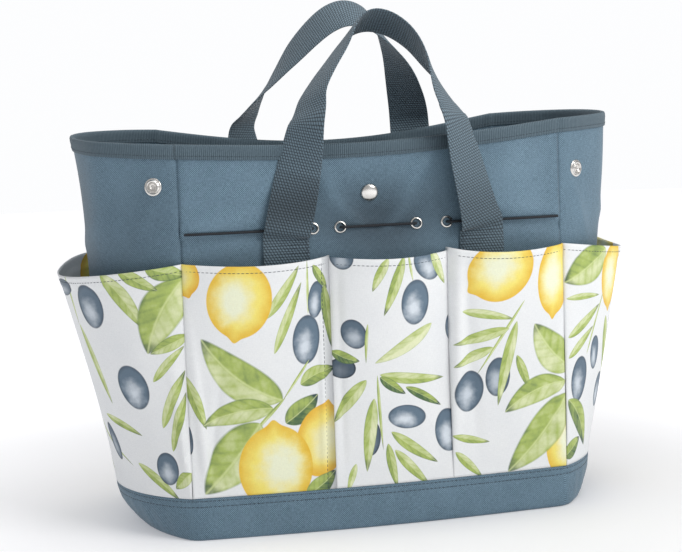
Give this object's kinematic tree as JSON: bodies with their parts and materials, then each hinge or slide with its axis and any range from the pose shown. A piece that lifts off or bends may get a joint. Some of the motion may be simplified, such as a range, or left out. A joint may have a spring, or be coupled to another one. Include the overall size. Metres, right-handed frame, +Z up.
{
  "type": "garden tool bag",
  "caption": "Open soft tote with a stiffened base, bulging ends, outside pockets all round, two webbing handles, snaps, eyelets and elastic draw cords.",
  "frame": {"origin": "on the floor, under the middle of the line between the front and rear faces and of the four corner seams", "axes": "+X to the bag's right seen from the front, -Y out of the front face, +Z up"},
  "size_m": [0.5081, 0.2472, 0.4513],
  "materials": {
    "canvas": "coated oxford weave, slate blue",
    "binding": "ribbed grosgrain tape",
    "print_cloth": "coated canvas, white with a lemon and olive print",
    "webbing": "coarse polypropylene webbing",
    "nickel": "satin nickel plate",
    "elastic": "braided elastic cord",
    "board": "matt sheet"
  },
  "bodies": {
    "bag": {"base_band_front": "canvas", "base_band_left": "canvas", "base_band_rear": "canvas", "base_band_right": "canvas", "base_board": "board", "base_panel": "canvas", "centre_snap_front_cap": "nickel", "centre_snap_front_socket": "nickel", "centre_snap_rear_cap": "nickel", "centre_snap_rear_stud": "nickel", "front_draw_cord": "elastic", "front_eyelet_1": "nickel", "front_eyelet_2": "nickel", "front_eyelet_3": "nickel", "front_eyelet_4": "nickel", "front_panel": "canvas", "front_pocket_left": "print_cloth", "front_pocket_middle": "print_cloth", "front_pocket_right": "print_cloth", "front_strap_foot_left": "webbing", "front_strap_foot_right": "webbing", "left_gusset": "canvas", "left_pocket": "print_cloth", "left_snap_front_cap": "nickel", "left_snap_front_socket": "nickel", "left_snap_rear_cap": "nickel", "left_snap_rear_stud": "nickel", "rear_draw_cord": "elastic", "rear_eyelet_1": "nickel", "rear_eyelet_2": "nickel", "rear_eyelet_3": "nickel", "rear_eyelet_4": "nickel", "rear_panel": "canvas", "rear_pocket_left": "print_cloth", "rear_pocket_middle": "print_cloth", "rear_pocket_right": "print_cloth", "rear_strap_foot_left": "webbing", "rear_strap_foot_right": "webbing", "right_gusset": "canvas", "right_pocket": "print_cloth", "right_snap_front_cap": "nickel", "right_snap_front_socket": "nickel", "right_snap_rear_cap": "nickel", "right_snap_rear_stud": "nickel", "rim_binding": "binding"},
    "front_legs": {"front_handle_left_leg": "webbing", "front_handle_right_leg": "webbing"},
    "front_loop": {"front_handle_loop": "webbing"},
    "rear_legs": {"rear_handle_left_leg": "webbing", "rear_handle_right_leg": "webbing"},
    "rear_loop": {"rear_handle_loop": "webbing"}
  },
  "joints": [
    {"name": "front_handle_swing", "type": "hinge", "parent": "bag", "child": "front_legs", "pos_m": [0, -0.104, 0.248], "axis": [1, 0, 0], "range_deg": [0, 90]},
    {"name": "front_loop_fold", "type": "hinge", "parent": "front_legs", "child": "front_loop", "pos_m": [0, -0.114, 0.34], "axis": [1, 0, 0], "range_deg": [-15, 105]},
    {"name": "rear_handle_swing", "type": "hinge", "parent": "bag", "child": "rear_legs", "pos_m": [0, 0.104, 0.248], "axis": [-1, 0, 0], "range_deg": [0, 90]},
    {"name": "rear_loop_fold", "type": "hinge", "parent": "rear_legs", "child": "rear_loop", "pos_m": [0, 0.114, 0.34], "axis": [-1, 0, 0], "range_deg": [-15, 105]}
  ]
}
